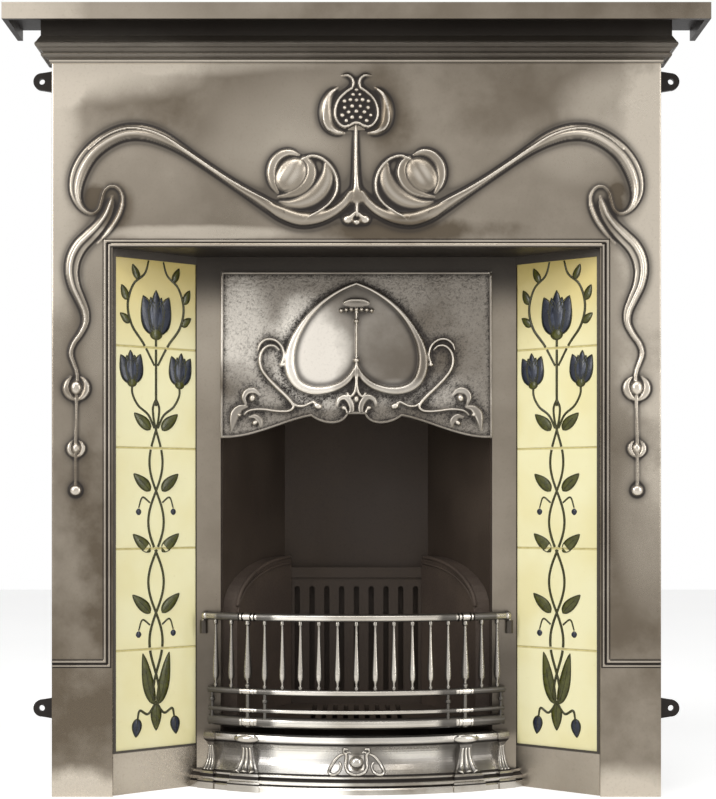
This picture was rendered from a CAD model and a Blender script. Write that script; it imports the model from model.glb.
import math

import bpy
import numpy as np
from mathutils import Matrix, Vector


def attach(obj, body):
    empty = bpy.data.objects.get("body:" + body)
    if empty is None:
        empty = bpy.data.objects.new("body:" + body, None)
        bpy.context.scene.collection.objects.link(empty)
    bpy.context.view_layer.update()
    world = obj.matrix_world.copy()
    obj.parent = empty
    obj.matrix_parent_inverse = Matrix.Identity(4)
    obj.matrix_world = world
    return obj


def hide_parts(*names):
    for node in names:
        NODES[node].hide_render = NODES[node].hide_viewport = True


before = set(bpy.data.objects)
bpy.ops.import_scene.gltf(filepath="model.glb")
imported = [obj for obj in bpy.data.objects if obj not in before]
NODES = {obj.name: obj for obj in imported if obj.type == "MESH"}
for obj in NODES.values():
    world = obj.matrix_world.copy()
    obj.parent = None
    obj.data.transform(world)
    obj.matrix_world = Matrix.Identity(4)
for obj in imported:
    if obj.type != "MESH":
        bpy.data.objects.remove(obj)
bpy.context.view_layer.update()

# World Y of the casting's front face, in metres
FRONT = -0.12
# The tables of ornament are in columns and rows of the photograph. On the front plane a pixel is
# PIXEL mm, CENTRE is the column of the centre line and row 0 is ROW_0 mm above the floor.
PIXEL, CENTRE, ROW_0 = 1.5, 356.5, 1195.5
# Both halves of a symmetrical ornament: 1 as drawn, on the left, and -1 mirrored
HALVES = (1, -1)


def px(column):
    return PIXEL * (column - CENTRE)


def pz(row):
    return ROW_0 - PIXEL * row


def table(text):
    """Rows of numbers from text, with commas between the rows."""
    return [tuple(float(value) for value in row.split()) for row in text.split(",")]


def photo_rows(text):
    """Rows of column, row, half width in pixels and height in mm to millimetres."""
    return [(px(c), pz(r), PIXEL * w, h) for c, r, w, h in table(text)]


def flip(rows, s):
    return [(s * r[0],) + tuple(r[1:]) for r in rows]


# ---- meshes

def add_object(name, data):
    ob = bpy.data.objects.new(name, data)
    bpy.context.scene.collection.objects.link(ob)
    return ob


def make_mesh(name, verts, faces, mat, cav, slot="cast_iron", body="fireplace", smooth=True):
    """A piece from vertices in metres; cav per vertex darkens recesses, below 0 it brightens."""
    me = bpy.data.meshes.new(name)
    me.from_pydata([tuple(v) for v in verts], [], [tuple(f) for f in faces])
    me.validate()
    if smooth:
        me.polygons.foreach_set("use_smooth", [True] * len(me.polygons))
    attr = me.attributes.new("cavity", "FLOAT", "POINT")
    attr.data.foreach_set("value", np.asarray(cav, np.float32))
    me.materials.append(mat)
    me.update()
    ob = add_object(name, me)
    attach(ob, body)
    return ob


def grid_faces(rows, cols, wrap=False):
    """Quads between rows of vertices; wrap joins the ends of each row."""
    steps = [(j, (j + 1) % cols) for j in range(cols if wrap else cols - 1)]
    return [(i + j, i + k, i + cols + k, i + cols + j)
            for i in range(0, (rows - 1) * cols, cols) for j, k in steps]


def catmull(points, step=1.0):
    """Smooth curve through rows of numbers; the first two columns set its length."""
    p = np.asarray(points, float)
    p = np.vstack([2 * p[0] - p[1], p, 2 * p[-1] - p[-2]])
    out = []
    for i in range(1, len(p) - 2):
        p0, p1, p2, p3 = p[i - 1:i + 3]
        t01, t12, t23 = (max(np.linalg.norm((b - a)[:2]) ** 0.5, 1e-3)
                         for a, b in ((p0, p1), (p1, p2), (p2, p3)))
        m1 = t12 * ((p1 - p0) / t01 - (p2 - p0) / (t01 + t12)) + (p2 - p1)
        m2 = t12 * ((p3 - p2) / t23 - (p3 - p1) / (t12 + t23)) + (p2 - p1)
        n = max(2, int(np.linalg.norm((p2 - p1)[:2]) / step))
        t = np.linspace(0, 1, n, endpoint=False)[:, None]
        h = (2 * t ** 3 - 3 * t ** 2 + 1) * p1 + (t ** 3 - 2 * t ** 2 + t) * m1
        out.append(h + (-2 * t ** 3 + 3 * t ** 2) * p2 + (t ** 3 - t ** 2) * m2)
    return np.vstack(out + [p[-2][None]])


def bezier(points, t):
    """Cubic curve of four numbers or four pairs, at each of the values t."""
    w = np.stack([(1 - t) ** 3, 3 * t * (1 - t) ** 2, 3 * t * t * (1 - t), t ** 3], -1)
    return w @ np.asarray(points, float)


class Build:
    """Collects many small shapes into one mesh."""

    def __init__(self):
        self.v, self.f, self.c = [], [], []

    def add(self, verts, faces, cav=0.0):
        n = len(self.v)
        self.v.extend(verts)
        self.f.extend([tuple(n + i for i in f) for f in faces])
        self.c.extend([cav] * len(verts))

    def tube(self, path, radii, sides=12, flat=1.0, normal=(0.0, 1.0, 0.0)):
        """Rings round a path in metres, with caps; flat squashes the section along normal."""
        path, n = np.asarray(path, float), len(path)
        radii = np.broadcast_to(np.asarray(radii, float), (n,))
        tang = np.gradient(path, axis=0)
        tang /= np.maximum(np.linalg.norm(tang, axis=1), 1e-12)[:, None]
        a = np.linspace(0, 2 * math.pi, sides, endpoint=False)[:, None]
        verts = []
        for point, radius, along in zip(path, radii, tang):
            side = np.cross(along, normal)
            if np.linalg.norm(side) < 1e-6:
                side = np.cross(along, [1.0, 0.0, 0.0])
            side /= np.linalg.norm(side)
            up = np.cross(side, along)
            verts.extend(point + radius * (np.cos(a) * side + flat * np.sin(a) * up))
        caps = [tuple(range(sides))[::-1], tuple(range((n - 1) * sides, n * sides))]
        self.add(verts, grid_faces(n, sides, True) + caps)

    def piece(self, name, mat, **kind):
        return make_mesh(name, self.v, self.f, mat, self.c, **kind)


# ---- relief

def blur(a, r):
    """Three box blurs of half width r cells, close to a Gaussian."""
    for _ in range(3):
        for ax in (0, 1):
            pad = [(0, 0), (0, 0)]
            pad[ax] = (r + 1, r)
            c = np.cumsum(np.pad(a, pad, mode="edge"), axis=ax)
            n = c.shape[ax]
            hi = np.take(c, np.arange(2 * r + 1, n), axis=ax)
            lo = np.take(c, np.arange(0, n - 2 * r - 1), axis=ax)
            a = (hi - lo) / (2 * r + 1)
    return a


def bell(u, centre, half):
    return np.exp(-((u - centre) / half) ** 2)


def unit(values):
    return np.clip(values, 0, 1)


def lift(grid, where, values):
    grid[where] = np.maximum(grid[where], values)


class Relief:
    """Heights in millimetres above the ground of a casting, on a grid of two axes."""

    def __init__(self, xs, zs):
        self.xs, self.zs = xs, zs
        self.X, self.Z = np.meshgrid(xs, zs)
        self.h, self.dark, self.light = (np.zeros_like(self.X) for _ in range(3))

    def window(self, pts, reach):
        """The part of the grid within reach of the points."""
        low, high = pts[:, :2].min(axis=0) - reach, pts[:, :2].max(axis=0) + reach
        i0, i1 = np.searchsorted(self.xs, [low[0], high[0]])
        j0, j1 = np.searchsorted(self.zs, [low[1], high[1]])
        return slice(j0, j1), slice(i0, i1)

    def nearest(self, path, reach):
        """For each cell near the path: nearest sample and signed distance across it."""
        win = self.window(path, reach)
        cx, cz = self.X[win].ravel(), self.Z[win].ravel()
        best = np.full(len(cx), 1e9)
        idx = np.zeros(len(cx), int)
        chunk = 64
        for a in range(0, len(path), chunk):
            seg = path[a:a + chunk]
            d = (cx[:, None] - seg[None, :, 0]) ** 2 + (cz[:, None] - seg[None, :, 1]) ** 2
            k = d.argmin(axis=1)
            dk = d[np.arange(len(cx)), k]
            m = dk < best
            best[m] = dk[m]
            idx[m] = a + k[m]
        t = np.gradient(path[:, :2], axis=0)[idx]
        side = (cx - path[idx, 0]) * t[:, 1] - (cz - path[idx, 1]) * t[:, 0]
        d = np.sqrt(best) * np.where(side < 0, -1, 1)
        shape = self.X[win].shape
        return win, idx.reshape(shape), d.reshape(shape)

    def ribbon(self, rows, profile="round", lean=0.0, step=1.0, gleam=0.0):
        """Tapered band along rows of (x, z, half width, height); gleam rubs its middle bright."""
        path = catmull(rows, step)
        win, idx, d = self.nearest(path, path[:, 2].max() + 2)
        w = np.maximum(path[idx, 2], 0.4)
        u = d / w
        a = np.clip(1 - u * u, 0, None)
        on = a > 0
        if profile == "round":
            f = np.sqrt(a)
        elif profile == "leaf":
            f = 0.72 * np.sqrt(a) + 0.28 * bell(u, 0.62, 0.2) * on
        elif profile == "band":
            roll = bell(u, lean, 0.3)
            edge = bell(np.abs(u), 0.82, 0.13)
            f = (0.5 * np.sqrt(a) + 0.42 * roll + 0.16 * edge) * on * np.minimum(1, a * 9)
            groove = 0.62 * bell(u, -1.3 * lean, 0.22) * unit((w - 3.5) / 4)
            lift(self.dark, win, groove * on)
        else:
            f = a
        if gleam:
            shine = gleam * bell(u, lean, 0.34) * on * unit((w - 2) / 3)
            lift(self.light, win, shine)
        lift(self.h, win, path[idx, 3] * f)

    def egg(self, x, z, along, across, height, angle=0.0, stripes=0, gleam=0.0):
        """Rounded boss; angle in degrees turns its long axis from the horizontal."""
        win = self.window(np.array([[x, z]]), max(along, across) + 2)
        c, s = math.cos(math.radians(angle)), math.sin(math.radians(angle))
        dx, dz = self.X[win] - x, self.Z[win] - z
        p, q = (dx * c + dz * s) / along, (dz * c - dx * s) / across
        a = np.clip(1 - p * p - q * q, 0, None)
        f = np.sqrt(a)
        shine = gleam * unit(a * 1.6 - 0.5)
        if stripes:
            line = unit(np.cos(q * stripes * math.pi)) * unit(a * 3)
            f = f * (1 - 0.1 * line)
            shine = shine * (1 - 0.8 * line)
        lift(self.light, win, shine)
        lift(self.h, win, height * f)

    def fill(self, outline, height=0.0):
        """A flat level inside an outline; gives its window and the cells inside."""
        pts = np.asarray(outline, float)
        win = self.window(pts, 1)
        X, Z = self.X[win], self.Z[win]
        inside = np.zeros(X.shape, bool)
        for (ax, az), (bx, bz) in zip(pts, np.roll(pts, -1, axis=0)):
            with np.errstate(divide="ignore", invalid="ignore"):
                inside ^= ((az > Z) != (bz > Z)) & (X < (bx - ax) * (Z - az) / (bz - az) + ax)
        lift(self.h[win], inside, height)
        return win, inside

    def mask(self, outline):
        """True in the cells inside an outline."""
        win, inside = self.fill(outline)
        out = np.zeros(self.X.shape, bool)
        out[win] = inside
        return out

    def shade(self, rows, reach, strength):
        """Patina that has settled on the ground beside a line."""
        win, _, d = self.nearest(catmull(rows, 1.0), 2 * reach)
        lift(self.dark, win, strength * bell(self.h[win], 0, 2.5) * bell(d, 0, reach))

    def recess(self, small, large):
        """0..1 in the hollows beside raised forms, from two blurs (in cells)."""
        a = unit((blur(self.h, small) - self.h) * 0.42)
        b = unit((blur(self.h, large) - self.h) * 0.26)
        return unit(np.maximum(np.maximum(a, b), self.dark))


def flanks(h, field, flat, fall, most, above):
    """Patina on steep sides and, by the share above, under what faces up or sideways."""
    dz, dx = np.gradient(blur(h, 1), field.zs, field.xs)
    steep = np.clip((np.hypot(dx, dz) - flat) / fall, 0, most)
    return steep + above * unit(dz + 0.4 * dx)


def skin(name, pos, keep, cav, mat):
    """A mesh of the kept cells of a relief."""
    index = -np.ones(keep.size, int)
    index[keep.ravel()] = np.arange(keep.sum())
    j, i = np.nonzero(keep[:-1, :-1] & keep[1:, :-1] & keep[:-1, 1:] & keep[1:, 1:])
    cols = keep.shape[1]
    a = j * cols + i
    faces = index[np.stack([a, a + 1, a + cols + 1, a + cols], -1)]
    make_mesh(name, pos[keep], faces, mat, cav[keep])


# ---- front ornament

TENDRIL = photo_rows("""
    351.5 194 4.4 5, 345 202.5 4.6 5.5, 334 211.5 5.2 6.2, 318 218 6.4 6.8, 300 219 7.4 7,
    282 213 7 6.6, 266 204.5 5.3 6, 250 195 3.9 5.2, 232 183.5 3 4.6, 214 171.5 2.6 4.5,
    196 159 3 4.6, 180 148 4.3 5.2, 163 138.5 6.2 6, 144 132.5 7.2 6.6, 124 133 7.4 7,
    105 141.5 7.5 7, 89 155.5 7.7 7, 79 173 7.7 7, 75.6 190 6 6.2, 78.5 203 3.6 5,
    85.5 211.6 2.1 4.2, 92.5 213.8 1.7 3.8, 98.6 209.8 1.6 3.8, 101.8 201 1.6 3.8,
    104.3 192 1.6 3.8, 109.8 186.6 1.7 3.9, 116.3 187.3 1.8 4, 121.6 193.6 1.9 4.2,
    122.3 203.5 2.2 4.4, 118.8 215 2.5 4.4, 112.5 226 2.4 4.2, 105 236 1.8 3.6, 98 243.5 1 2.6""")
TENDRIL_TIP = photo_rows("267 205 4.6 5.8, 253 196.6 2.6 5, 241 189.4 1 3.4")
CREST = photo_rows("""
    274 204.5 .7 5.6, 266 200 1.1 6.4, 250 191.8 1.3 6.2, 232 181.5 1.4 6, 214 170 1.5 6,
    196 157.8 1.5 6, 180 147 1.5 6.4, 163 136.5 1.4 7.2, 144 130 1.3 7.4, 126 129 1.2 7.2,
    106 136.5 1.1 6.6, 90 149.5 1 5.6""")
STRAND = photo_rows("""
    112.6 197 1.6 3, 111 204 3.4 4.4, 107 215 4.6 5.4, 99.5 226 5.6 5.8, 89.5 236.5 6.6 6.2,
    79.5 247 7 6.4, 73.5 259 6.8 6.4, 71.8 272 6.2 6.2, 74.4 286 5.4 6, 80.5 300 4.6 5.6,
    85.2 312 3.9 5.2, 85.6 323 3.1 5, 80.5 334 2.7 4.8, 73.6 344 2.5 4.6, 70.8 353.5 2.3 4.6,
    73.6 363 2.1 4.4, 76.8 372 1.9 4.2, 77.2 382 1.7 4, 76.6 400 1.6 4, 76.2 420 1.5 4,
    75.8 440 1.5 3.8, 75.8 462 1.4 3.6, 75.8 484 1.4 3.6""")
RING = photo_rows("""
    302.8 159.2 1.2 4, 311.7 155.9 1.3 4.6, 322 158.5 1.4 4.8, 331.5 167 1.4 5, 336.8 179 1.4 5,
    336.4 192 1.4 5.2, 329.5 203.5 1.4 5.8, 319.5 211.2 1.4 7.2, 310 217 1.3 8, 305.5 220.6 1.1 8,
    303.6 217.8 .9 7.8""")
RING_LEAF = photo_rows("""
    326 164.5 2.2 2.4, 327 176 6.6 3.4, 322.5 187.5 8.4 4, 313.2 197 8.4 4.2, 300.5 202.6 6.6 4,
    289 203.6 3.8 3.2, 280 202 1.4 2""")
FRUIT_RIGHT = photo_rows("""
    303.5 157.8 1.8 3.8, 309.8 163.8 3.8 4.8, 311.6 173 4.8 5.2, 308 183.2 4.8 5.2, 299.8 191 4 4.8,
    289 195.2 2.6 4, 279 197 1.3 3""")
FRUIT_LEFT = photo_rows("""
    277.8 193 1.5 3, 272.6 184 3.4 4.6, 271.2 172.5 4.6 5.2, 274.2 162 4.8 5.4, 282 154.4 4.4 5.2,
    291.2 152.4 3.2 4.6, 299 155 1.4 3.6""")
POD_HALF = table("""
    352 88.3, 345.5 92.8, 339.4 99, 335.8 107, 335.2 115.5, 338.2 122.6, 343.6 126.8, 349.4 126,
    353.6 123.6""")
POD_MIDDLE = 356.6
POD = [(px(c), pz(r)) for c, r in POD_HALF + [(POD_MIDDLE, 123)]
       + [(2 * POD_MIDDLE - c, r) for c, r in POD_HALF[::-1]]]
SEEDS = table("""
    356.6 90, 353.2 94.8, 360 94.8, 344.6 101.4, 350.5 100, 356.6 100.4, 362.7 100, 368.6 101.4,
    344.8 107.9, 352.3 106.4, 360.5 106.4, 368.2 107.9, 342.4 115.5, 348.7 112.3, 356.5 111.6,
    364.5 112.3, 370.8 115.5, 352.3 117.6, 360.7 117.6, 346.4 121, 366.8 121""")
HORN = photo_rows("""
    352 88.5 1.3 4.4, 353.6 83 1.3 4.6, 352.2 78.4 1.3 4.6, 348 75.4 1.3 4.2, 342.6 75.6 1 3.2""")
POD_LEAF = photo_rows("""
    337.5 87.5 1.2 2.6, 330.5 93.5 3.4 3.8, 326.4 103 5.6 4.6, 325.6 114.5 6.6 4.8,
    328.4 125 5.8 4.8, 335.4 131.6 3.8 4.2, 344 133.4 1.6 3""")
POD_RIDGE = photo_rows("""
    335.2 90 .9 4.4, 328.8 97.5 1.1 5.6, 325 109 1.2 6.2, 324.4 121.6 1.2 6.2, 329 129.6 1.1 5.6,
    339 132.6 .9 4.4""")
STEM = photo_rows("""
    356 126 1.6 3.6, 355.9 140 1.7 4.2, 355.9 158 2 4.8, 356 174 2.6 5.4, 356.4 186 3.8 6,
    356.6 194 6 6.2, 356.8 199 6.6 5.6""")
STEM_LOW = photo_rows("356.8 196 2.4 5.6, 357 206 1.7 5, 357.2 216 1.7 5")
# Each form with its profile, the lean of its crest and its gleam
FRONT_FORMS = [
    (RING_LEAF, "soft", -0.25, 0.8), (TENDRIL[5:], "band", -0.25, 0),
    (TENDRIL[:6] + TENDRIL_TIP, "round", -0.3, 0.6), (STRAND, "band", 0.2, 0),
    (CREST, "round", 0, 0), (RING, "round", 0, 0), (FRUIT_LEFT, "leaf", 0, 0.5),
    (FRUIT_RIGHT, "leaf", 0, 0.4), (POD_LEAF, "soft", 0, 0.4), (POD_RIDGE, "round", 0, 0),
    (HORN, "round", 0, 0)]


def hanging_bud(field, s, column, row, ball, size):
    """A ball between two curved sepals on the strand."""
    x, z, tall = s * px(column), pz(row), size * 0.92
    for t in (-1, 1):
        field.ribbon([(x + PIXEL * t * a * size, z + PIXEL * b * tall, PIXEL * w, h)
                      for a, b, w, h in (
                          (0.1, -0.98, 0.9, 3.2), (0.48, -0.7, 0.21 * size, 4.4),
                          (0.76, -0.16, 0.27 * size, 5.0), (0.7, 0.42, 0.2 * size, 4.6),
                          (0.34, 0.94, 0.6, 3.0))], "leaf", gleam=0.5)
    field.egg(x, z, PIXEL * ball * 1.15, PIXEL * ball * 0.94, 6.8 * ball / 6.6 + 0.6, 90, gleam=0.9)


def front_relief(field):
    """The ornament of the frieze and legs."""
    for s in HALVES:
        for rows, profile, lean, gleam in FRONT_FORMS:
            field.ribbon(flip(rows, s), profile, lean * s, gleam=gleam)
        field.egg(s * px(291), pz(175), 28.0, 21.5, 7.4, s * 57, stripes=3, gleam=0.9)
        hanging_bud(field, s, 76.3, 388, 6.6, 13.4)
        hanging_bud(field, s, 76.1, 448.5, 4.4, 9.2)
        field.egg(s * px(75.8), pz(490.5), 9.2, 8.6, 6.6)
        field.egg(s * px(348.4), pz(219.6), 8.6, 7.2, 5.8)
        field.ribbon([(s * px(c), pz(r), w, h) for c, r, w, h in table(
            "355 213 2.2 4.6, 351 217.5 5 5.4, 348.5 220 5.2 5.4")])
    pod, inside = field.fill(POD, 1.5)
    outline = [(x, z, 2.1, 6.0) for x, z in POD]
    field.shade(outline + outline[:1], 15.0, 0.62)
    field.ribbon(outline, step=0.7)
    for i, (c, r) in enumerate(SEEDS):
        size = 2.75 + 0.3 * math.sin(2.3 * i) + 0.35 * (r > 99)
        field.egg(px(c), pz(r), size, size, 5.0)
    field.dark[pod] = np.where(inside, unit(1.15 - (field.h[pod] - 1.2) / 2.4),
                               field.dark[pod])
    field.ribbon(STEM)
    field.ribbon(STEM_LOW)
    field.egg(px(356.8), pz(222.4), 5.6, 4.2, 5.2)


def front_skin(mat):
    """The whole ornamented face of the front casting, just in front of the solid."""
    inner, outer, head, foot, top = 380.4, 456.7, 837.2, 206.4, 1100.6
    legs = np.linspace(inner, outer, 62)
    xs = np.concatenate([-legs[::-1], np.linspace(-inner, inner, 582)[1:-1], legs])
    zs = np.concatenate([np.linspace(foot, head, 486), np.linspace(head, top, 207)[1:]])
    field = Relief(xs, zs)
    front_relief(field)
    sharp = field.h.copy()
    field.h = h = 0.55 * sharp + 0.45 * blur(sharp, 1)
    halo = np.maximum(np.clip(blur(h, 7) * 0.55, 0, 0.5), np.clip(blur(h, 3) * 0.9, 0, 0.8))
    halo *= bell(h, 0, 1.6)
    cav = np.maximum(np.maximum(field.recess(2, 7), halo), flanks(sharp, field, 0.4, 1.0, 0.6, 0.3))
    cav += 0.1 * unit(h / 3)
    ridge = unit((h - blur(h, 2) - 0.24) / 0.9) * unit((h - 1.6) / 1.5)
    ridge = np.maximum(ridge, blur(field.light, 1))
    cav = unit(cav) * (1 - ridge) - 0.66 * ridge
    # the outer edges turn back into the solid
    turn, back = 2.2, 0.0006
    rim = np.minimum(np.abs(np.abs(field.X) - outer), turn)
    y = FRONT - (0.35 + h) / 1000 + back * (1 - np.sqrt(1 - (1 - rim / turn) ** 2))
    keep = (np.abs(field.X) >= inner - 0.1) | (field.Z >= head - 0.1)
    skin("front_ornament", np.stack([field.X / 1000, y, field.Z / 1000], -1), keep, cav, mat)


# ---- materials

def srgb(text):
    """Linear colour with alpha 1 from six hexadecimal digits."""
    values = [int(text[i:i + 2], 16) / 255 for i in (0, 2, 4)]
    return tuple(c / 12.92 if c <= 0.04045 else ((c + 0.055) / 1.055) ** 2.4
                 for c in values) + (1.0,)


class Nodes:
    """Short notation for the node tree of a material or the world."""

    def __init__(self, owner, shader="BsdfPrincipled", output="OutputMaterial"):
        owner.use_nodes = True
        self.owner, self.t, self.vectors = owner, owner.node_tree, {}
        self.t.nodes.clear()
        out = self.t.nodes.new("ShaderNode" + output)
        self.shader = self.t.nodes.new("ShaderNode" + shader)
        self.t.links.new(self.shader.outputs[0], out.inputs[0])

    def put(self, socket, value):
        if isinstance(value, bpy.types.NodeSocket):
            self.t.links.new(value, socket)
        else:
            socket.default_value = value

    def set(self, **values):
        """Values or sockets for the shader; _ stands for a space in a socket's name."""
        for key, value in values.items():
            self.put(self.shader.inputs[key.replace("_", " ")], value)
        return self.owner

    def node(self, kind, inputs=(), output=0, **properties):
        """An output of a new node; inputs are a dict, or a row in the order of its sockets."""
        n = self.t.nodes.new("ShaderNode" + kind)
        for key, value in properties.items():
            setattr(n, key, value)
        for key, value in inputs.items() if isinstance(inputs, dict) else enumerate(inputs):
            self.put(n.inputs[key], value)
        return n.outputs[output]

    def vector(self, kind):
        """The place ("Object") or the direction of the surface ("Normal"), made once."""
        if kind not in self.vectors:
            source = {"Object": "TexCoord", "Normal": "NewGeometry"}[kind]
            self.vectors[kind] = self.node(source, output=kind)
        return self.vectors[kind]

    def axis(self, which, kind="Object"):
        """X, Y or Z of the place, in metres."""
        if kind + which not in self.vectors:
            self.vectors[kind + which] = self.node("SeparateXYZ", (self.vector(kind),), which)
        return self.vectors[kind + which]

    def facing(self, which):
        """X, Y or Z of the surface's own direction, so patina can differ above and below."""
        return self.axis(which, "Normal")

    def noise(self, scale, detail=3.0, rough=0.5, stretch=None):
        place = self.vector("Object")
        if stretch:
            place = self.node("Mapping", {"Vector": place, "Scale": stretch})
        return self.node("TexNoise", {"Scale": scale, "Detail": detail, "Roughness": rough,
                                      "Vector": place}, "Fac")

    def math(self, op, *values, clamp=False):
        """One value from all the values, taken one after another."""
        out = values[0]
        for value in values[1:] or (0.0,):
            out = self.node("Math", (out, value), operation=op, use_clamp=clamp)
        return out

    def add(self, *values):
        return self.math("ADD", *values)

    def mul(self, *values):
        return self.math("MULTIPLY", *values)

    def top(self, *values):
        return self.math("MAXIMUM", *values)

    def less(self, a, b):
        return self.math("SUBTRACT", a, b)

    def clip(self, value):
        return self.math("ADD", value, clamp=True)

    def wide(self):
        """Distance from the centre line."""
        return self.math("ABSOLUTE", self.axis("X"))

    def cavity(self):
        return self.node("Attribute", output="Fac", attribute_name="cavity")

    def span(self, value, a, b, c=0.0, d=1.0):
        """From c at a to d at b, smoothly, and flat beyond."""
        return self.node("MapRange", (value, a, b, c, d), interpolation_type="SMOOTHSTEP")

    def mix(self, fac, a, b):
        return self.node("Mix", {"Factor": fac, "A": a, "B": b}, "Result", data_type="RGBA")

    def near(self, value, centre, half, soft):
        """1 within half of the centre, falling to 0 over soft."""
        return self.span(self.math("ABSOLUTE", self.less(value, centre)), half, half + soft, 1, 0)

    def patch(self, cx, cz, rx, rz, strength, warp):
        """Soft oval tone on the front, in metres."""
        x = self.mul(self.less(self.axis("X"), cx), 1 / rx)
        z = self.mul(self.less(self.axis("Z"), cz), 1 / rz)
        return self.span(self.add(self.mul(x, x), self.mul(z, z), warp), 0.0, 1.3, strength, 0)

    def bump(self, height, distance, strength=1.0, normal=None):
        inputs = {"Strength": strength, "Distance": distance, "Height": height}
        if normal is not None:
            inputs["Normal"] = normal
        return self.node("Bump", inputs)


def material(name):
    return Nodes(bpy.data.materials.new(name))


def polished_iron(name, low="61574a", high="c4baab", rough=0.3, base=0.28, patches="", stain=None,
                  grain=1.0, brushed=0.0):
    """Antique-finished cast iron: polished high places, brown-black patina in the hollows."""
    m = material(name)
    cloud, blotch, fine = m.noise(3.0), m.noise(11.0, 5, 0.6), m.noise(240.0, 4, 0.65)
    cav = m.cavity()
    warp = m.mul(m.less(blotch, 0.5), 2.0)
    tone = m.add(m.span(cloud, 0.3, 0.7, base - 0.11, base + 0.11),
                 m.span(blotch, 0.3, 0.7, -0.055, 0.055), 
                 *(m.patch(*row, warp) for row in table(patches) if row))
    col = m.mix(m.clip(tone), srgb(low), srgb(high))
    col = m.mix(m.span(fine, 0.5, 0.8, 0, 0.22 * grain), col, srgb("6d6252"))
    dirt = m.clip(m.top(m.span(cav, 0.02, 0.85), *(stain(m) if stain else ())))
    col = m.mix(m.span(cav, -0.8, 0.0, 0.7, 0), col, srgb("ded5c8"))
    col = m.mix(dirt, col, srgb("1c1510"))
    r = m.add(m.span(cloud, 0.3, 0.7, rough - 0.04, rough + 0.05),
              m.span(fine, 0.3, 0.8, -0.02, 0.04), m.mul(dirt, 0.16))
    waves = m.bump(m.noise(5.0, 2, 0.4), 0.004, 0.5 * grain)
    surface = m.bump(m.noise(55.0), 0.0004, 0.5 * grain, waves)
    grit = m.bump(m.noise(900.0, 2), 0.00012, 0.45 * grain, surface)
    if brushed:
        lines = m.noise(60.0, 3, 0.6, stretch=(0.15, 1, 14))
        grit = m.bump(lines, 0.0002, brushed, grit)
    return m.set(Base_Color=col, Metallic=m.span(dirt, 0, 1, 0.94, 0.45), Roughness=r, Normal=grit)


def raw_back(m):
    return m.span(m.facing("Y"), 0.2, 0.6, 0, 0.9)


def shelf_patina(m):
    """Unpolished underneath, inside and behind."""
    inward = m.mul(m.facing("X"), m.math("SIGN", m.axis("X")))
    return [m.span(m.facing("Z"), -0.9, -0.5, 1, 0), m.span(inward, -0.9, -0.5, 0.9, 0),
            raw_back(m)]


def front_patina(m):
    """Dark band and hollows of the moulding, black lugs, raw sides and back."""
    y, z, wide = m.axis("Y"), m.axis("Z"), m.wide()
    crests = m.top(*(m.near(z, *row) for row in table(
        "1.1262 .001 .0008, 1.1118 .0008 .0008, 1.1034 .0006 .0006")))
    return [m.span(z, 1.138, 1.1386, 0, 0.93), raw_back(m),
            m.mul(m.span(z, 1.1004, 1.101, 0, 0.75), m.less(1.0, crests)),
            m.mul(m.span(wide, 0.4573, 0.4578), m.span(y, -0.085, -0.081)),
            m.mul(m.span(wide, 0.4568, 0.457), m.span(y, -0.1185, -0.117, 0, 0.45))]


def cheek_patina(m):
    return [m.span(m.axis("Z"), 0.0618, 0.0632, 0, 0.85), raw_back(m)]


def frame_patina(m):
    """Dark under the frieze, beside the basket and inside."""
    y, z = m.axis("Y"), m.axis("Z")
    return [m.span(z, 0.725, 0.8, 0, 0.86), raw_back(m), m.span(y, -0.026, -0.019, 0.8, 0),
            m.mul(m.span(z, 0.2, 0.3, 0.5, 0), m.span(z, 0.07, 0.09))]


def soffit_patina(m):
    return [m.span(m.wide(), 0.22, 0.36, 0.95, 0.6)]


# World Y of the middle of the bow of the basket and the ash-pan cover
BOW_Y = FRONT + 0.463


def outward(m):
    """How far a surface of the basket looks straight out from the middle of its bow."""
    x, y = m.axis("X"), m.less(m.axis("Y"), BOW_Y)
    away = m.add(m.mul(m.facing("X"), x), m.mul(m.facing("Y"), y))
    return m.math("DIVIDE", away, m.math("SQRT", m.add(m.mul(x, x), m.mul(y, y))))


def bar_patina(m):
    """Bright where the cloth reaches; dark above, below, inside and beside the collars."""
    wide = m.wide()
    post = m.near(wide, 0.1665, 0.0115, 0.003)
    ends = m.mul(m.span(wide, 0.118, 0.134, 0, 0.84), m.less(1.0, post),
                 m.span(wide, 0.215, 0.222, 1, 0))
    hook = m.mul(m.span(wide, 0.2, 0.21), m.span(m.axis("Z"), 0.256, 0.26, 0.85, 0))
    return [m.span(outward(m), 0.66, 0.98, 0.92, 0), ends, hook]


def turned_patina(m):
    """Spindles and posts: bright bellies, dark necks and flanks, dull shanks low down."""
    z = m.axis("Z")
    return [m.span(outward(m), 0.58, 0.99, 0.92, 0), m.span(z, 0.145, 0.149, 0.75, 0),
            m.span(m.wide(), 0.125, 0.15, 0, 0.4), m.span(z, 0.16, 0.176, 0.5, 0),
            m.span(z, 0.235, 0.257, 0, 0.4)]


def reed_patina(m):
    return [m.span(outward(m), 0.6, 0.99, 0.85, 0)]


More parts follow.
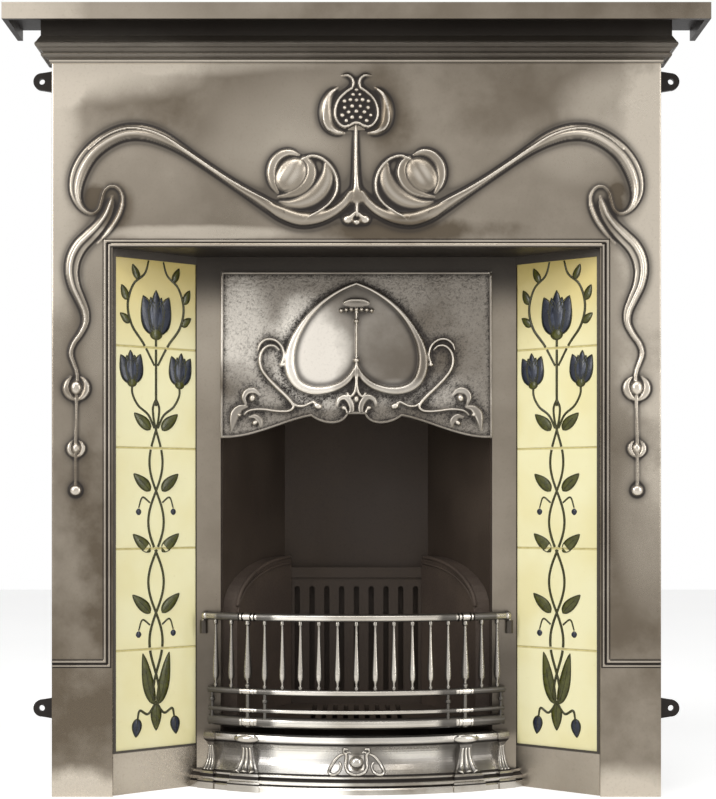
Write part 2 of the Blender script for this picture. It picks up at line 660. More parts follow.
def cover_patina(m):
    """Polished hollow face; dark lines between the steps, round the boss and the pilasters."""
    z, wide = m.axis("Z"), m.wide()
    lines = [m.near(z, *row) for row in table(
        ".0114 .0007 .0009, .021 .0022 .0009, .0281 .0009 .0009, .0735 .0008 .004")]
    face = m.mul(m.span(z, 0.028, 0.029), m.span(z, 0.0725, 0.0735, 1, 0))
    boss = m.mul(m.span(wide, 0.0108, 0.0116, 1, 0), m.near(z, 0.046, 0.0108, 0.0008))
    beside = m.top(m.near(wide, 0.169, 0.03, 0.024), m.span(wide, 0.205, 0.235),
                   m.patch(0, 0.049, 0.062, 0.03, 0.9, 0.0))
    under = m.mul(m.span(m.facing("Z"), -0.7, 0.0, 0.2, 0), face)
    return lines + [m.mul(beside, face, m.less(1.0, boss), 0.62), under, raw_back(m)]


def blackened(name, base="382d24", dusty="4c4035", rough=0.62):
    """Matt black stove paint with a little ash dust and casting grain."""
    m = material(name)
    cloud, grain = m.noise(6.0, 4, 0.55), m.noise(320.0, 4, 0.6)
    tone = m.mix(m.span(cloud, 0.35, 0.7, 0, 0.6), srgb(base), srgb(dusty))
    return m.set(Base_Color=m.mix(m.span(grain, 0.5, 0.8, 0, 0.4), tone, srgb("1d1815")),
                 Metallic=0.25, Roughness=m.span(cloud, 0.3, 0.7, rough - 0.06, rough + 0.08),
                 Normal=m.bump(grain, 0.0003, 0.6, m.bump(m.noise(30.0), 0.0008, 0.5)))


def firebrick(name):
    m = material(name)
    cloud, grain = m.noise(9.0, 4, 0.55), m.noise(420.0, 4, 0.65)
    tone = m.mix(m.span(cloud, 0.35, 0.7), srgb("3c3027"), srgb("4b3e33"))
    return m.set(Base_Color=m.mix(m.span(grain, 0.5, 0.8, 0, 0.5), tone, srgb("231d19")),
                 Roughness=m.span(grain, 0.3, 0.8, 0.66, 0.85),
                 Normal=m.bump(grain, 0.0004, 0.7, m.bump(m.noise(45.0), 0.0009, 0.5)))


def steel(name):
    m = material(name)
    fine = m.noise(500.0, 3, 0.6)
    return m.set(Base_Color=m.mix(m.span(fine, 0.4, 0.7), srgb("8a847a"), srgb("5d564d")),
                 Metallic=1.0, Roughness=m.span(fine, 0.3, 0.8, 0.32, 0.5),
                 Normal=m.bump(fine, 0.0001, 0.4))


def cream_glaze(name):
    """Cream majolica glaze, deeper near the top, with slow thickness changes and pooled edges."""
    m = material(name)
    cloud, speck = m.noise(9.0), m.noise(160.0, 4, 0.6)
    tone = m.mix(m.span(cloud, 0.35, 0.68, 0, 0.8), srgb("fff8c8"), srgb("f8edb2"))
    tone = m.mix(m.span(m.axis("Z"), 0.64, 0.84, 0, 0.85), tone, srgb("dcc26a"))
    col = m.mix(m.span(speck, 0.62, 0.8, 0, 0.25), tone, srgb("dccb88"))
    return m.set(Base_Color=m.mix(m.span(m.cavity(), 0.0, 1.0, 0, 0.5), col, srgb("a8965a")),
                 Roughness=m.span(speck, 0.3, 0.8, 0.16, 0.26),
                 Normal=m.bump(m.noise(38.0, 2, 0.4), 0.0006, 0.45),
                 Coat_Weight=0.25, Coat_Roughness=0.07, Specular_IOR_Level=0.35)


def glaze_colour(name, a, b, rough=0.2):
    m = material(name)
    cloud = m.noise(130.0)
    return m.set(Base_Color=m.mix(m.span(cloud, 0.35, 0.68), srgb(a), srgb(b)),
                 Roughness=m.span(cloud, 0.3, 0.8, rough, rough + 0.12),
                 Normal=m.bump(m.noise(260.0, 2, 0.4), 0.0003, 0.5),
                 Coat_Weight=0.12, Coat_Roughness=0.1, Specular_IOR_Level=0.3)


def dress(names, mat):
    """Gives a material to nodes of the CAD, and returns it."""
    for name in names.split():
        ob = NODES[name]
        for slot in ob.material_slots:
            slot.material = mat
        if not ob.material_slots:
            ob.data.materials.append(mat)
    return mat


# Patches of tone: x, z, half width and half height in metres, and strength
IRON_PATCHES = """
    -.4 1.1 .17 .06 .75, -.23 1.105 .16 .024 .45, -.462 .92 .055 .28 .6, -.2 1.05 .2 .07 -.16,
    .26 1.06 .18 .08 -.14, .468 .82 .075 .4 .9, -.22 .846 .17 .012 .6, .07 .85 .17 .022 -.42,
    -.39 .74 .03 .15 .25, .4 .72 .03 .18 .2, -.06 .99 .1 .12 .12, 0 .16 .7 .42 -.2,
    .4 1.03 .1 .075 .5, .33 .965 .07 .05 .26, -.34 1.04 .1 .05 -.14, -.115 .995 .1 .09 .24,
    .045 1.04 .05 .07 -.26, 0 1.1262 3 .0022 .75, 0 1.1118 3 .0018 .55, 0 1.1034 3 .0016 .5,
    -.396 .896 .02 .026 -.45, .396 .896 .02 .026 -.45, -.365 .885 .03 .035 -.3, .41 .9 .035 .04 -.3,
    -.388 .42 .04 .2 -.17, .44 .42 .055 .14 .36, -.42 -.005 .11 .056 1.3, .4 -.005 .11 .056 .9"""
HOOD_PATCHES = """
    -.178 .7 .05 .1 .5, -.074 .676 .066 .085 1.1, .14 .612 .045 .03 .3, -.198 .632 .045 .035 -.3,
    -.055 .603 .06 .02 .5, .07 .61 .06 .022 .35, -.13 .612 .05 .025 .22, .085 .67 .08 .09 -.06,
    .19 .7 .07 .12 -.05, 0 .78 .09 .05 -.06"""
IRON = dress("surround", polished_iron("antique_iron", stain=front_patina, patches=IRON_PATCHES))
dress("mantel_shelf", polished_iron("antique_iron_shelf", base=0.27, stain=shelf_patina, patches="""
    -.49 1.16 .09 .1 .5, -.34 1.16 .09 .1 .1, .22 1.16 .34 .2 -.14"""))
dress("cheek_left cheek_right", polished_iron(
    "antique_iron_cheek", stain=cheek_patina, brushed=0.25, base=0.4, patches="-.3 .03 .1 .06 .3"))
dress("inner_frame", polished_iron("antique_iron_frame", stain=frame_patina, brushed=0.25,
                                   patches="-.23 .7 .05 .09 .15, -.23 .03 .06 .05 .3"))
dress("soffit_plate", polished_iron("antique_iron_soffit", stain=soffit_patina))
IRON_HOOD = dress("hood", polished_iron("antique_iron_hood", low="574e43", high="e4ddd2",
                                        rough=0.34, base=0.2, patches=HOOD_PATCHES))
BRIGHT = dict(low="8a8071", high="f4efe6", rough=0.2, grain=0.2)
dress("top_bar lower_bars", polished_iron("bright_iron", base=0.42, stain=bar_patina,
                                          patches="-.095 .2 .06 .4 .45", **BRIGHT))
dress("spindles basket_posts", polished_iron("bright_iron_turned", base=0.45, stain=turned_patina,
                                             **BRIGHT))
IRON_BRIGHT = polished_iron("bright_iron_detail", base=0.5, stain=reed_patina, **BRIGHT)
COVER_CURL = polished_iron("bright_iron_curl", base=0.4, stain=reed_patina, **BRIGHT)
dress("ash_pan_cover", polished_iron("bright_iron_cover", low="6f6659", high="fbf7f0", rough=0.2,
                                     grain=0.4, base=0.3, stain=cover_patina, patches="""
    -.085 .05 .08 .1 .9, .09 .064 .06 .022 .22, .09 .026 .12 .03 -.3"""))
dress("firebox_casing back_plate throat_plate damper_flap bottom_grate tile_back_left "
      "tile_back_right", blackened("stove_black"))
BRICK = dress("lining_left lining_right", firebrick("lining_brick"))
dress("shelf_bolts tile_back_screws cheek_bolts soffit_bolts hood_bolts firebox_bolts throat_bolts "
      "damper_pin", steel("fastener_steel"))
dress("ash_pan ash_pan_handle", blackened("pan_paint", "3d3833", "57504a", 0.5))
SIDES, TILE_ROWS = ("left", "right"), range(1, 6)
CREAM = dress(" ".join("tile_%s_%d" % (side, row) for side in SIDES for row in TILE_ROWS),
              cream_glaze("cream_glaze"))

front_skin(IRON)


# ---- frame round the opening

def opening_frame():
    """Double bead with dark quirks, round the opening and out along the plinths."""
    profile, cav = [], []
    for a in np.linspace(-9.6, 4.2, 56):
        out, dark = 0.25, 0.42
        for centre, r in ((-6.5, 2.3), (0.0, 2.7)):
            d = abs(a - centre)
            if d < r:
                out = max(out, math.sqrt(r * r - d * d) * 0.95)
                dark = -0.45 if d < 0.32 * r else 0.2 + 0.7 * (d / r) ** 2
            elif d < r + 1.1:
                out, dark = 0.02, 0.95
        profile.append((a / 1000, out / 1000))
        cav.append(dark)
    cav = np.convolve(cav, [0.25, 0.5, 0.25], mode="same")
    x, end, z, foot, y = 0.377, 0.4568, 0.8338, 0.203, FRONT - 0.0001
    # one run, mitred at the corners: x, z and the way across the beads in x and z
    run = [(-end, foot, 0, 1), (-x, foot, -1, 1), (-x, z, -1, 1), (x, z, 1, 1), (x, foot, 1, 1),
           (end, foot, 0, 1)]
    verts = [(cx + a * ax, y - out, cz + a * az) for cx, cz, ax, az in run for a, out in profile]
    n = len(run)
    make_mesh("opening_beads", verts, grid_faces(n, len(profile)), IRON, np.tile(cav, n))


opening_frame()


# ---- hood

# On the leaning hood a pixel is HOOD_PIXEL mm. Its v is 0 at the top edge and negative below.
HOOD_PIXEL = 1.5533
# Half width and height in mm, lean, and the place of the top edge in metres
HOOD_W, HOOD_H, HOOD_TILT, HOOD_TOP, HOOD_Y = 211.0, 260.0, math.radians(3), 0.801, FRONT + 0.10261


def hx(column):
    return HOOD_PIXEL * (column - 357.0)


def hv(row):
    return HOOD_PIXEL * (505 - row) - 363.0


def hood_rows(text):
    return [(hx(c), hv(r), HOOD_PIXEL * w, h) for c, r, w, h in table(text)]


def on_hood(x, v, n):
    """Point on the leaning hood: x across, v up its face, n out of it, in millimetres."""
    c, s = math.cos(HOOD_TILT), math.sin(HOOD_TILT)
    return np.stack([x / 1000 + 0 * n, HOOD_Y + (v * s - n * c) / 1000,
                     HOOD_TOP + (v * c + n * s) / 1000], -1)


def hood_outline(e, n=24):
    """Outline of the hood inset by e, down the right side and up the left one."""
    w, foot = HOOD_W - e, -HOOD_H + e
    cusp, mid = (70, foot + 34), (14, foot + 37)
    t = np.linspace(0, 1, n)[1:]
    half = np.vstack([[(w, -e), (w, foot)],
                      bezier(((w, foot), (160, foot - 2), (112, foot + 27), cusp), t),
                      bezier((cusp, (50, foot + 18), (20, foot + 18), mid), t)])
    return np.vstack([half, (half * [-1, 1])[::-1]])


HEART = hood_rows("""
    357 283.4 1.6 5, 346 287.8 1.9 5.4, 334 294.4 2.2 5.6, 321 304 2.5 5.8, 309 316.4 2.9 6,
    299.6 330.4 3.6 6.2, 293 344.6 4.6 6.4, 290.2 358.6 5.5 6.6, 291.2 371 5.8 6.6,
    295.4 380.6 5.5 6.6, 302.4 387 5.1 6.6, 311.4 390.4 4.7 6.4, 321.6 391 4.4 6.2, 333 388.8 4 6.2,
    343.6 384 3.8 6.2, 350.8 377.4 3.4 6, 355.4 369.4 2.4 5.6, 357 362 1.4 5""")
LOOP_A = hood_rows("""
    282.4 364 1.4 5, 284.4 355 1.3 5, 281.8 346 1.4 5.2, 275 340.2 1.5 5.4, 267 339.6 1.5 5.4,
    261 344 1.4 5, 258.6 350 1 4.2""")
LOOP_B = hood_rows("""
    279.5 350 .8 4, 275 346.2 1.3 5, 268.6 346.2 1.5 5.4, 263 351 1.6 5.4, 260.4 359.5 1.7 5.4,
    262 368.8 1.7 5.4, 268.5 378.4 1.8 5.6, 277.5 387.8 1.9 5.6, 286.8 396.6 2 5.8,
    292.6 403.6 2.1 5.8, 294 408 1.8 5.4, 290.4 411.2 1.6 5.2, 283.4 412 1.5 5, 275 411.4 1.4 4.8,
    265 410 1.4 4.8, 256 410 1.3 4.6, 249 411.6 1.2 4.4, 245 415 1 3.6""")
LOOP_C = hood_rows("""
    291 401 1.2 4.8, 297.4 406.2 1.5 5, 304 406.6 1.4 5, 309.6 404.2 1.3 4.8, 313.8 402 1.1 4.4""")
LEAF = hood_rows("""
    247 407.4 1.6 4, 240.6 408.8 4 5.4, 236 414 5.2 6, 233.8 421 3.8 5.2, 232.4 431 .8 3""")
BUD_TOP = hood_rows("""
    246.4 404.6 1.2 3.6, 244.4 398 2.8 5.2, 248 392 3.5 5.6, 255 391 3.2 5.2,
    260.4 395.4 1.2 3.8""")
BUD_LOW = hood_rows("""
    250.6 417.6 1.2 3.6, 255.6 416.8 2.8 4.8, 260.6 420.6 3.1 5, 261.6 427.4 1.3 3.6""")
SCROLL = hood_rows("""
    337.6 406 1.2 4, 339.6 400 2.4 5.4, 345.4 397.6 3.1 6, 350.6 402.4 3.4 6.2, 352.6 410 3.1 6,
    350.4 416.6 2.3 5.4""")
SCROLL_STEM = hood_rows("""
    357 364 1.6 6.6, 357 371 3.4 6.6, 357 379 2.3 6.2, 356.6 387 2.2 6, 354.4 394 1.8 5.6,
    350.6 397 1.5 5.2, 348 393.6 1.2 4.6""")
HOOD_LIP = hood_rows("""
    312.4 417.4 1.3 4.4, 321 422.4 1.4 5, 332 425.2 1.5 5.2, 342.6 422.6 1.5 5.4,
    347.6 416.6 1.4 5.4, 346.2 409.6 1.2 5, 342.4 407.6 .9 4.2""")
FLOWER_TOP = hood_rows("357 300.2 1.2 8, 350 300.6 1.3 7.8, 345 302.6 1 6.8")
FLOWER_STALK = hood_rows("""
    357 311 3 7.4, 357 315 1.4 7.4, 357 330 1.1 7.8, 357 350 1.1 7.8, 357 364 1.4 7.2""")
STAMENS = table("""
    341.8 311, 346.8 310.3, 351.9 309.9, 357 309.8, 362.1 309.9, 367.2 310.3, 372.2 311""")
# Bosses as column, row, half length and half width in mm, height and angle
HOOD_PAIRS = table("""
    282.4 365 4.2 3.8 5.6 0, 253 398.6 6.4 5.2 6.2 70, 255.6 423.4 5 4 5.2 40,
    240.4 415.6 3.4 3.4 6.6 0, 318.6 406.6 7.2 5.4 6 -20, 315.4 403.4 3.2 3.2 5.4 0,
    344.6 408.4 4.4 4.2 6 0""")
HOOD_MIDDLES = table("""
    357 304 22 7.2 6.4, 357 321.6 4.4 4 9.2, 357 361 5.4 4.8 9.2, 357 399.6 4.4 5.6 5.6""")


def hood_relief(field):
    """The ornament of the hood; gives the soft mask of the domed ground inside the heart."""
    ring = np.array([r[:2] for r in catmull(HEART, 1.5)])
    heart = field.mask(np.vstack([ring, (ring * [-1, 1])[::-1]])).astype(float)
    dome = blur(heart, 14) * heart
    field.h += unit(dome - 0.4) * 4.4 * heart
    for s in HALVES:
        field.ribbon(flip(HEART, s))
        for rows in (LOOP_A, LOOP_B, LOOP_C, SCROLL_STEM, HOOD_LIP):
            field.ribbon(flip(rows, s), step=0.8)
        for rows in (LEAF, BUD_TOP, BUD_LOW, SCROLL):
            field.ribbon(flip(rows, s), "leaf", step=0.8)
        for c, r, along, across, height, angle in HOOD_PAIRS:
            field.egg(s * hx(c), hv(r), along, across, height, s * angle)
        field.ribbon(flip(FLOWER_TOP, s))
    for c, r, along, across, height in HOOD_MIDDLES:
        field.egg(hx(c), hv(r), along, across, height)
    for k, (c, r) in enumerate(STAMENS):
        field.egg(hx(c), hv(r), 3.7, 3.7, 10.4 - 0.2 * abs(k - 3))
    field.ribbon(FLOWER_STALK)
    return blur(heart, 1)


def hood_skin():
    """The face of the hood with its hammered ground, and the bead on its rim."""
    step, edge = 0.95, 2.6
    xs = np.linspace(-HOOD_W + edge, HOOD_W - edge, int(2 * (HOOD_W - 3) / step))
    zs = np.arange(-HOOD_H + edge, -edge, step)
    field = Relief(xs, zs)
    smooth_zone = hood_relief(field)
    sharp = field.h
    cav = 0.62 * blur(field.recess(2, 6), 1) + 0.34 * np.clip(blur(sharp, 8) - sharp, 0, 1.2) / 1.2
    h = 0.6 * sharp + 0.4 * blur(sharp, 1)
    # dark line where the ground meets the rim
    ground = field.mask(hood_outline(4.2)).astype(float)
    cav = np.maximum(cav, np.clip((1 - blur(ground, 4)) * 1.1, 0, 0.8))
    # hammered ground outside the heart
    coarse = np.random.default_rng(5).random(h.shape)
    pits = 0.55 * (coarse - 0.5) + 0.9 * (blur(coarse, 1) - 0.5)
    flat = unit(1 - h / 0.8) * (1 - smooth_zone)
    h = h + pits * 0.7 * flat
    cav = np.clip(cav + (0.12 + np.clip(-pits, -0.12, 0.3)) * flat, 0, 0.9)
    ridge = unit((sharp - blur(sharp, 2) - 0.2) / 0.9) * unit((sharp - 2.5) / 2)
    cav = np.maximum(cav, flanks(sharp, field, 0.6, 1.4, 0.5, 0.2)) * (1 - ridge) - 0.7 * ridge
    skin("hood_ornament", on_hood(field.X, field.Z, 5.35 + h), field.mask(hood_outline(2.2)), cav,
         IRON_HOOD)
    # rounded bead on the rim
    ring = hood_outline(1.9, 30)
    ring = np.vstack([ring, ring[:1]])
    dense = []
    for p, q in zip(ring[:-1], ring[1:]):
        k = max(1, int(np.linalg.norm(q - p) / 6))
        dense += [p + (q - p) * t / k for t in range(k)]
    dense = np.array(dense + [ring[-1]])
    b = Build()
    b.tube(on_hood(dense[:, 0], dense[:, 1], 6.7), 0.0019, 10, normal=(0, -1, 0))
    b.piece("hood_rim_bead", IRON_HOOD)


hood_skin()


# ---- tiles

# Angle of a cheek with the front plane, and the place of its outer edge in metres
CHEEK_A, CHEEK_X, CHEEK_Y = math.radians(38.5), 0.3625, FRONT + 0.01297
# In mm: side of a tile, joint, part under the cheek's rim, depth of the face behind the rim,
# underside of the lowest tile and the end of the painting at the top
TILE, TILE_GAP, TILE_LIP, TILE_W, TILE_BASE, TILE_TOP = 152.4, 1.6, 4.2, 2.5, 64.0, 824
GLAZES = {short: glaze_colour(name, a, b) for short, name, a, b in (
    ("olive", "olive_glaze", "3e3d14", "2d2c0b"), ("leaf", "leaf_glaze", "565722", "3f4014"),
    ("slate", "slate_glaze", "2c313f", "1f232f"), ("pale", "slate_pale_glaze", "434a5c", "333848"))}
GROUT = glaze_colour("tile_grout", "e4d796", "d3c584", 0.6)


def on_cheek(side, u, z, n):
    """Point on a tiled cheek: u from the leg inwards, z up, n out of the tiles' face (mm)."""
    c, s = math.cos(CHEEK_A), math.sin(CHEEK_A)
    u, z, w = np.asarray(u) / 1000, np.asarray(z) / 1000, (TILE_W - np.asarray(n)) / 1000
    x = -CHEEK_X + u * c - w * s
    return np.stack([x * (1 if side == "left" else -1), CHEEK_Y + u * s + w * c, z + 0 * u], -1)


def tile_piece(side, row):
    """A tile with softly rounded glazed edges."""
    z0 = TILE_BASE + (row - 1) * (TILE + TILE_GAP)
    edge = [0.0, 0.15, 0.5, 1.0, 1.7, 2.6, 4.0]
    line = np.array(edge + list(np.linspace(7, TILE - 7, 16)) + [TILE - e for e in edge[::-1]])
    U, Z = np.meshgrid(line, line)
    d = np.minimum(np.minimum(U, TILE - U), np.minimum(Z, TILE - Z))
    r = 2.0
    drop = np.where(d < r, r - np.sqrt(np.clip(r * r - (r - d) ** 2, 0, None)), 0) * 0.55
    crown = 0.12 * np.cos((U / TILE - 0.5) * math.pi) * np.cos((Z / TILE - 0.5) * math.pi)
    face = on_cheek(side, U - TILE_LIP, Z + z0, crown - 0.12 - drop).reshape(-1, 3)
    cav = unit(1 - d / 2.4).ravel() ** 1.5
    k, n = len(line), len(face)
    cells = np.arange(n).reshape(k, k)
    loop = [*cells[0], *cells[1:, -1], *cells[-1, -2::-1], *cells[-2:0:-1, 0]]
    m = len(loop)
    back = on_cheek(side, U.ravel()[loop] - TILE_LIP, Z.ravel()[loop] + z0, -9.0)
    faces = grid_faces(k, k) + [(loop[i], n + i, n + (i + 1) % m, loop[(i + 1) % m])
                                for i in range(m)] + [tuple(range(n, n + m))]
    if side == "right":
        faces = [f[::-1] for f in faces]
    ob = make_mesh("glazed_tile_%s_%d" % (side, row), np.vstack([face, back]), faces, CREAM,
                   np.concatenate([cav, np.full(m, 0.6)]), "tile_glaze")
    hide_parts("tile_%s_%d" % (side, row))
    ob.modifiers.new("crease", "EDGE_SPLIT").split_angle = math.radians(50)


class Tilework:
    """Coloured glaze lines and petals on one column of tiles, broken at each joint."""

    def __init__(self, side):
        self.side, self.parts = side, {}
        self.normal = (math.sin(CHEEK_A) * (1 if side == "left" else -1), -math.cos(CHEEK_A), 0.0)

    def run(self, path, colour, height, above):
        if len(path) > 2:
            wide = np.maximum(path[:, 2], 0.25)
            pts = on_cheek(self.side, path[:, 0], path[:, 1], above)
            self.parts.setdefault(colour, Build()).tube(
                pts, wide / 1000, 8, height / max(wide.max(), 0.01), self.normal)

    def stroke(self, rows, colour, height=0.9, above=-0.1):
        """Rows of (u, z, half width); the stroke stops short of the tile joints."""
        path = catmull(rows, 1.1)
        z = (path[:, 1] - TILE_BASE) % (TILE + TILE_GAP)
        free = (z > 0.9) & (z < TILE - 0.9) & (path[:, 1] < TILE_TOP)
        ends = np.flatnonzero(np.diff(np.concatenate([[0], free, [0]])))
        for start, stop in zip(ends[::2], ends[1::2]):
            self.run(path[start:stop], colour, height, above)

    def petal(self, u, z, length, width, angle, colour, height=1.0, bend=0.0, vein=False):
        """A pointed petal from (u, z) in a direction in degrees, with its raised outline."""
        a = math.radians(angle)
        d, q = np.array([math.cos(a), math.sin(a)]), np.array([-math.sin(a), math.cos(a)])
        rows, left, right = [], [], []
        for t in np.linspace(0, 1, 13):
            w = width * (math.sin(math.pi * min(1, t ** 0.75)) ** 0.8) * 0.5 + 0.02
            c = np.array([u, z]) + d * length * t + q * bend * math.sin(math.pi * t * 0.5) * t
            rows.append((*c, w))
            left.append((*(c + q * w), 0.75))
            right.append((*(c - q * w), 0.75))
        self.stroke(rows, colour, height)
        for edge in (left, right):
            self.stroke(edge, "olive", 1.15, 0.05)
        if vein:
            self.stroke([(r[0], r[1], 0.5) for r in rows[1:9]], "olive", 1.2, 0.2)

    def berry(self, u, z, r):
        self.stroke([(u, z + r * a, r * w) for a, w in (
            (-1, 0.3), (-0.5, 0.85), (0, 1), (0.5, 0.85), (1, 0.3))], "slate", 1.2)

    def tulip(self, u, z, size, lean):
        for k in (-1, 1):
            self.petal(u + k, z, 50 * size, 25 * size, 90 + lean - k * 31, "slate", 1.1,
                       k * 9 * size, True)
            self.petal(u, z, 47 * size, 16 * size, 90 + lean - k * 12, "pale", 1.3, 2 * k * size)
        self.petal(u, z - 2, 57 * size, 20 * size, 90 + lean, "slate", 1.5, vein=True)
        self.petal(u, z - 7 * size, 17 * size, 17 * size, 90 + lean, "leaf", 1.8)


def tile_design(side):
    """Two stems that weave up the column to three tulips, with long leaves and berries."""
    t = Tilework(side)
    mid, low, high = 72.0, 132.0, 600.0

    def branch(s, rows, height, foot=0.0):
        t.stroke([(mid + s * u, foot + z, w) for u, z, w in rows], "olive", height)

    for s in (-1, 1):
        branch(s, [(14 * math.sin(math.pi * f) ** 0.35 * math.cos(5 * math.pi * f),
                    low + (high - low) * f, 2.35 - 0.3 * f) for f in np.linspace(0, 1, 41)], 1.2)
        # long leaves at the foot, then smaller ones up the stems
        t.petal(mid + s * 3, low, 80, 19, 90 - s * 26, "leaf", 0.9, s * 16, True)
        for k, f in enumerate((0.3, 0.5, 0.7, 0.9)):
            z = low + (high - low) * f
            t.petal(mid + s * 11, z, 44 - 8 * f, 17, 90 - s * 40, "leaf", 0.9, -s * 5, True)
            if k % 2 == 0:
                branch(s, table("11 -18 1.5, 24 -10 1.5, 31 -26 1.3"), 1.0, z)
                t.berry(mid + s * 31, z - 32, 5.0)
        # side stalks with the smaller tulips
        branch(s, table("3 556 2, 14 576 2, 32 590 2, 42 608 2, 42 624 2"), 1.1)
        t.tulip(mid + s * 42, 624, 0.9, -s * 4)
        # arching sprays beside and above the large tulip
        branch(s, table("3 652 1.8, 22 684 2.1, 43 712 2.2, 50 742 2.2, 40 774 2, 20 792 1.9, "
                        "13 812 1.6"), 1.1)
        for u, z, length, width, angle, bend in table(
                "50 750 24 12 34 3, 46 716 21 11 62 3, 32 782 24 11 16 -3"):
            t.petal(mid + s * u, z, length, width, 90 - s * angle, "leaf", 0.9, s * bend)
        # hanging buds at the foot
        branch(s, table("2 0 1.9, 15 -14 2, 29 -8 2, 33 -22 1.7"), 1.2, low)
        t.petal(mid + s * 33, low - 20, 28, 16, 270 + s * 6, "slate", 1.1, vein=True)
    branch(1, table("0 590 2.3, 0 640 2.3, 0 698 2.2"), 1.2)
    t.tulip(mid, 700, 1.22, 0)
    t.petal(mid, low + 2, 42, 18, 270, "leaf", 1.1, vein=True)
    for colour, b in t.parts.items():
        b.piece("tile_%s_%s" % (colour, side), GLAZES[colour], slot="tile_glaze")


def grout(side):
    """Hollow-faced grout in the four joints of a column."""
    b = Build()
    profile = table("-1.7 -.5, -1.2 -.75, -.8 -.8, -.4 -.75, .1 -.5, .1 -5, -1.7 -5")
    k = len(profile)
    for row in range(1, 5):
        z0 = TILE_BASE + row * (TILE + TILE_GAP)
        b.add([on_cheek(side, u, z0 + z, n) for u in (-TILE_LIP + 0.3, TILE - TILE_LIP - 0.3)
               for z, n in profile],
              grid_faces(2, k, True) + [tuple(range(k))[::-1], tuple(range(k, 2 * k))])
    b.piece("tile_grout_" + side, GROUT, slot="tile_glaze", smooth=False)


for side in SIDES:
    for row in TILE_ROWS:
        tile_piece(side, row)
    tile_design(side)
    grout(side)


# ---- ash-pan cover

# Radius of the cover's front on the bow, in mm
COVER_R = 452.0
# Whiplash curls beside the boss: distance from the middle, height and half width, in mm
CURLS = [table(rows) for rows in (
    """13 67 1.5, 18.5 67.6 2, 20.4 63 2.1, 16.4 57.4 2.2, 16.6 49 2.3, 17 40 2.3, 12 32.6 2.3,
    5 29.8 2, 0 29.4 1.7""",
    """19.6 60 1.3, 27 56.4 1.8, 34.4 49.6 2.1, 40.6 40.4 2.2, 43 33.4 2.2, 39.4 29.9 2.1,
    32.4 30 2, 26.6 34.4 1.9, 24.4 41 1.7, 27.6 47.4 1.2""",
    "8.6 60.5 1, 13.4 62.4 1.4, 16.6 58 1.4")]


def bow_point(angle, radius, z):
    """Point on the bow: angle in degrees from the middle, radius and height in mm."""
    a, radius = np.radians(angle), radius / 1000
    return np.stack([radius * np.sin(a), BOW_Y - radius * np.cos(a), z / 1000 + 0 * radius], -1)


def cover_face(z):
    """Radius of the cover's hollow face at height z."""
    a = unit((z - 28.2) / 45.0)
    return COVER_R - 10.6 - 12 * np.sin(math.pi * a) - 5 * a


def pilaster_front(z):
    """Radius of a pilaster's face at height z, between its foot and its cap."""
    t = np.linspace(0, 1, 60)
    return np.interp(z, bezier([29.0, 36.0, 50.0, 70.0], t),
                     COVER_R - bezier([5.0, 13.0, 17.0, 12.0], t))


def cover_curls():
    b = Build()
    for s in (-1, 1):
        for rows in CURLS:
            along, z, wide = catmull(rows, 1.0).T
            b.tube(bow_point(np.degrees(s * along / COVER_R), cover_face(z) + 0.4, z),
                   1.3 * np.maximum(wide, 0.3) / 1000, 12, 0.95)
    b.piece("cover_curls", COVER_CURL, body="ash_cover")


def pilaster_reeds():
    """Three reeds on each pilaster, and a rounded cap on the two inner ones."""
    b = Build()
    t = np.linspace(0, 1, 26)
    z = bezier([28.6, 35.0, 44.0, 66.0], t)
    for angle, foot in ((-22.5, 27), (22.5, 27), (-31, 15), (31, 15)):
        top = 0.34 * foot
        half = bezier([foot - 5, foot * 0.6, top + 2, top], t)
        for k in (-1, 0, 1):
            off = k * half * 0.6
            b.tube(bow_point(angle + np.degrees(off / COVER_R),
                             pilaster_front(z) - 0.25 - 0.004 * off ** 2, z),
                   0.26 * half / 1000, 14, 0.8)
    t = np.linspace(-1, 1, 33)
    for angle in (-22.5, 22.5):
        b.tube(bow_point(angle + 2.9 * t, np.full(33, COVER_R - 12.6), 79.4),
               0.0068 * np.sqrt(unit(1 - t ** 2)) + 0.0004, 18)
    b.piece("pilaster_reeds", IRON_BRIGHT, body="ash_cover")


def lining_bands():
    """Two rounded ridges along the curved shoulder of each side lining."""
    b = Build()
    a = np.linspace(0, math.pi / 2, 40)
    y = 278.0 - 159.4 * np.cos(a)
    for s in (-1, 1):
        for drop, r, inset in ((1.5, 3.2, 20.6), (12.0, 2.3, 20.8)):
            z = 277 + 76 * np.sin(a) - drop
            half = 210 - (y - 117.6) * 0.4934 - inset * 1.115
            pts = np.stack([s * half / 1000, FRONT + y / 1000, z / 1000], -1)
            b.tube(pts[1:-1], r / 1000)
    b.piece("lining_ridges", BRICK, slot="lining")


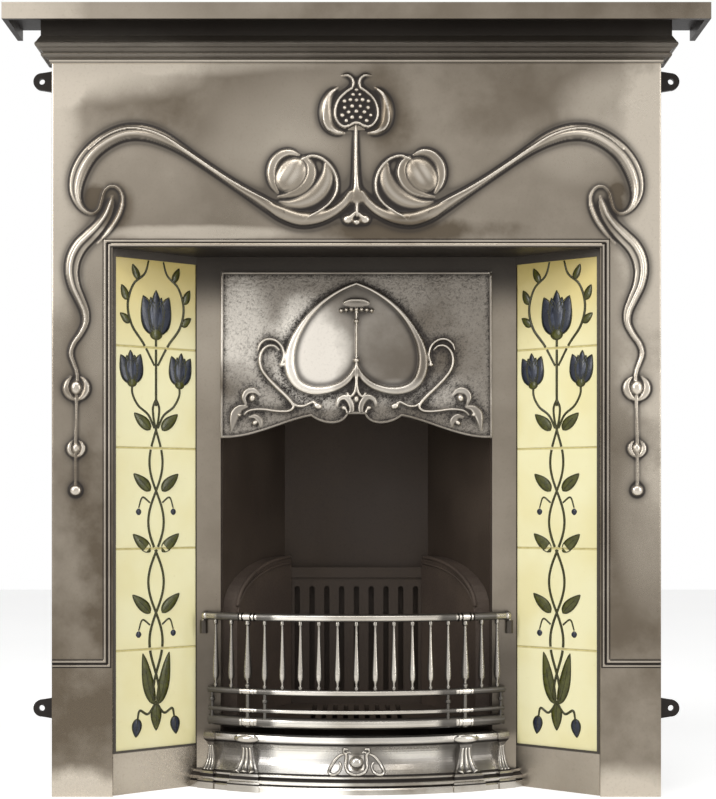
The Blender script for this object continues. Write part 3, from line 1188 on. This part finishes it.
cover_curls()
pilaster_reeds()
lining_bands()


# ---- stage

def seen(m):
    """1 for what the camera sees, itself or through gloss and glass."""
    rays = m.t.nodes.new("ShaderNodeLightPath").outputs
    return m.top(rays["Is Camera Ray"], rays["Is Glossy Ray"], rays["Is Transmission Ray"])


def area(name, place, target, size, power):
    data = bpy.data.lights.new(name, "AREA")
    data.shape = "RECTANGLE"
    data.size, data.size_y = size
    data.energy = power
    ob = add_object(name, data)
    ob.location = place
    ob.rotation_euler = (Vector(target) - Vector(place)).to_track_quat("-Z", "Y").to_euler()


def studio():
    """Pale floor and surroundings with three soft lamps."""
    m = material("stage_floor")
    pale = m.mix(m.span(m.noise(2.0, 2, 0.4), 0.3, 0.7), (0.86, 0.86, 0.85, 1), (0.9, 0.9, 0.89, 1))
    me = bpy.data.meshes.new("stage_floor")
    me.from_pydata([(-6, -6, 0), (6, -6, 0), (6, 6, 0), (-6, 6, 0)], [], [(0, 1, 2, 3)])
    me.materials.append(m.set(Base_Color=pale, Roughness=0.85, Emission_Color=(1, 1, 1, 1),
                              Emission_Strength=m.mul(seen(m), 0.5)))
    floor = add_object("stage_floor", me)
    world = bpy.context.scene.world = bpy.data.worlds.new("studio")
    sky = Nodes(world, "Background", "OutputWorld")
    sky.set(Color=(1, 1, 1, 1), Strength=sky.span(seen(sky), 0, 1, 0.36, 1))
    area("key", (-2.3, -2.0, 1.9), (0, 0, 0.6), (0.8, 2.2), 46)
    area("fill", (2.5, -1.7, 1.2), (0, 0, 0.6), (0.5, 2.2), 24)
    area("top", (0.0, -1.7, 3.0), (0, 0, 0.7), (2.2, 0.8), 26)


def camera():
    data = bpy.data.cameras.new("camera")
    data.lens, data.sensor_width, data.sensor_fit = 75.09, 36.0, "AUTO"
    data.shift_x, data.shift_y = 0.002, 0.132
    ob = add_object("camera", data)
    ob.location = (0.0, -2.62, 0.438)
    ob.rotation_euler = (math.radians(90), 0, 0)
    bpy.context.scene.camera = ob


studio()
camera()
bpy.context.scene.view_settings.view_transform = "Standard"
